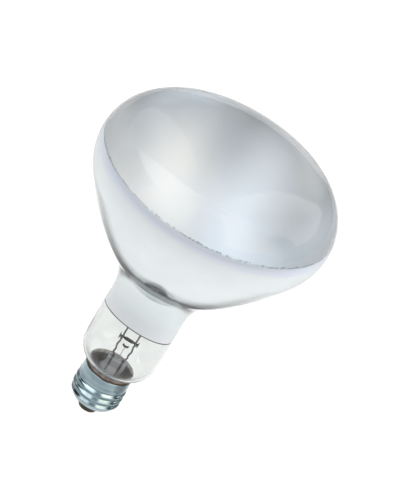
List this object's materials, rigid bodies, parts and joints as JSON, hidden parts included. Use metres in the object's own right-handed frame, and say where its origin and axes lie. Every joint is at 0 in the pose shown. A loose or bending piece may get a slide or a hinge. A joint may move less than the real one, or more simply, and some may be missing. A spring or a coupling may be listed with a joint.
{
  "type": "uv sun lamp bulb",
  "caption": "Blown glass reflector lamp with a frosted domed face, mirrored bowl and clear lower neck on an E27 screw cap, holding a quartz burner and a ballast filament.",
  "frame": {"origin": "Middle of the flat face of the solder on the centre contact, on the lamp's axis, where the cap meets the holder's tongue.", "axes": "+Z runs along the lamp's axis from the cap to the face; X passes through the two lead wires; -Y is the side seen in the picture."},
  "size_m": [0.125, 0.125, 0.1755],
  "materials": {
    "clear_glass": "polished, with a frosted face",
    "mirror_film": "vapour-deposited mirror",
    "nickel_plated_sheet": "nickel-plated, rolled",
    "black_glass": "gloss",
    "contact_brass": "satin",
    "soft_solder": "cast, satin",
    "basing_cement": "baked, matte",
    "stem_glass": "fire-polished",
    "copper_wire": "drawn",
    "nickel_wire": "drawn",
    "molybdenum_wire": "drawn",
    "tungsten_coil": "drawn and coiled",
    "getter_metal": "dark, matte",
    "dark_bridge_glass": "gloss",
    "white_steatite": "matte",
    "fused_quartz": "fire-polished"
  },
  "bodies": {
    "root": {"glass_bulb": "clear_glass", "mirror_coating": "mirror_film", "cap_shell": "nickel_plated_sheet", "cap_insulator": "black_glass", "centre_contact": "contact_brass", "contact_solder": "soft_solder", "side_solder": "soft_solder", "basing_cement": "basing_cement", "stem": "stem_glass", "exhaust_tube": "stem_glass", "contact_lead": "copper_wire", "shell_lead": "copper_wire", "lead_wire_left": "nickel_wire", "lead_wire_right": "nickel_wire", "bridge_spool": "dark_bridge_glass", "bridge_ties": "molybdenum_wire", "getter_strip": "getter_metal", "getter_wire": "nickel_wire", "hook_disc": "white_steatite", "filament_hooks": "molybdenum_wire", "filament": "tungsten_coil", "filament_link": "nickel_wire", "burner_tube": "fused_quartz", "upper_electrode": "tungsten_coil", "lower_electrode": "tungsten_coil", "upper_foil": "molybdenum_wire", "lower_foil": "molybdenum_wire", "upper_pin": "molybdenum_wire", "lower_pin": "molybdenum_wire", "upper_strap": "nickel_wire", "lower_strap": "nickel_wire"}
  },
  "joints": []
}
